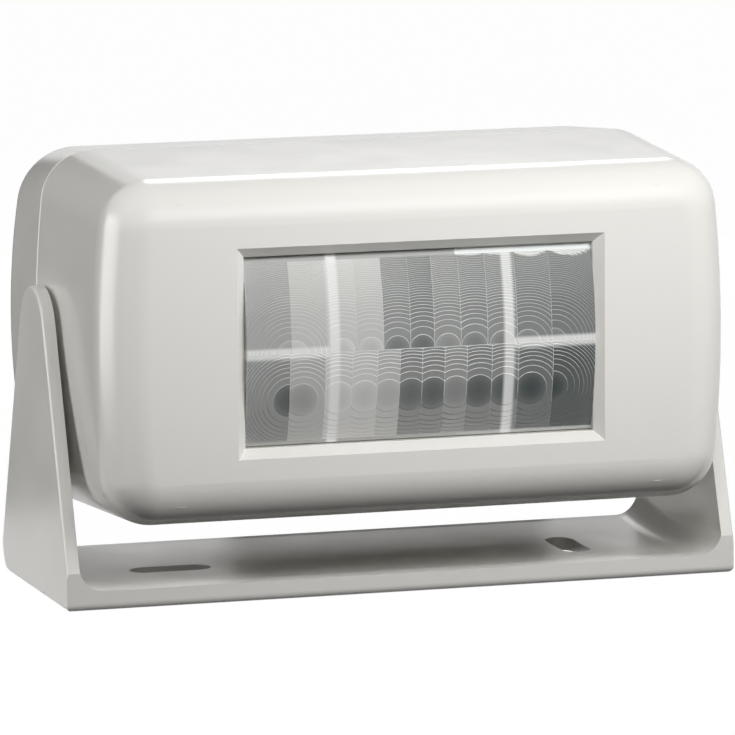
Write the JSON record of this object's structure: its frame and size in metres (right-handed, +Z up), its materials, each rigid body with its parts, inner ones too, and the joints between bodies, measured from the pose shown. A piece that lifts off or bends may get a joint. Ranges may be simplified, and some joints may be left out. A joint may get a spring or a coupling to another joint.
{
  "type": "motion sensor",
  "caption": "Passive infrared motion sensor with chime: a glossy white box head with a Fresnel lens window, tilting on stubs in a U-shaped bracket that stands or is screwed on.",
  "frame": {"origin": "centre of the bracket's underside, on the surface it stands on", "axes": "+Z up, -Y the way the lens looks, +X to the right as seen from the front, along the tilt axis"},
  "size_m": [0.116, 0.0646, 0.0728],
  "materials": {
    "white_abs": "polished moulded ABS",
    "door_abs": "polished moulded ABS",
    "lens_pe": "translucent polyethylene, smooth outside",
    "frame_abs": "moulded ABS, satin",
    "screw_steel": "zinc plated",
    "board_fr4": "solder resist",
    "spacer_black": "moulded",
    "sensor_can": "nickel plated can",
    "chip_black": "moulded epoxy",
    "capacitor_sleeve": "shrink sleeve",
    "resistor_body": "lacquered",
    "speaker_steel": "black paint",
    "ferrite": "sintered ferrite",
    "cone_paper": "pressed paper",
    "cell_jacket": null,
    "contact_nickel": "nickel plated spring steel",
    "switch_black": "moulded"
  },
  "bodies": {
    "stand": {"stand_bracket": "white_abs"},
    "head": {"front_cover": "white_abs", "rear_cover": "white_abs", "fresnel_lens": "lens_pe", "lens_frame": "frame_abs", "lens_screws": "screw_steel", "board_screws": "screw_steel", "housing_screws": "screw_steel", "speaker_screws": "screw_steel", "circuit_board": "board_fr4", "sensor_spacer": "spacer_black", "pir_sensor": "sensor_can", "control_chip": "chip_black", "sound_chip": "chip_black", "capacitors": "capacitor_sleeve", "resistors": "resistor_body", "transistor": "chip_black", "speaker_frame": "speaker_steel", "speaker_magnet": "ferrite", "speaker_cone": "cone_paper", "battery_cell_1": "cell_jacket", "battery_cell_2": "cell_jacket", "battery_cell_3": "cell_jacket", "contact_plates": "contact_nickel", "contact_leaves": "contact_nickel", "switch_body": "switch_black"},
    "door": {"battery_door": "door_abs"},
    "switch": {"switch_knob": "switch_black"}
  },
  "joints": [
    {"name": "head_tilt", "type": "hinge", "parent": "stand", "child": "head", "pos_m": [0, 0, 0.043], "axis": [1, 0, 0], "range_deg": [-90, 45]},
    {"name": "battery_door_lift", "type": "slide", "parent": "head", "child": "door", "axis": [0, 1, 0], "range_m": [0, 0.0046]},
    {"name": "switch_slide", "type": "slide", "parent": "head", "child": "switch", "axis": [1, 0, 0], "range_m": [0, 0.004]}
  ]
}
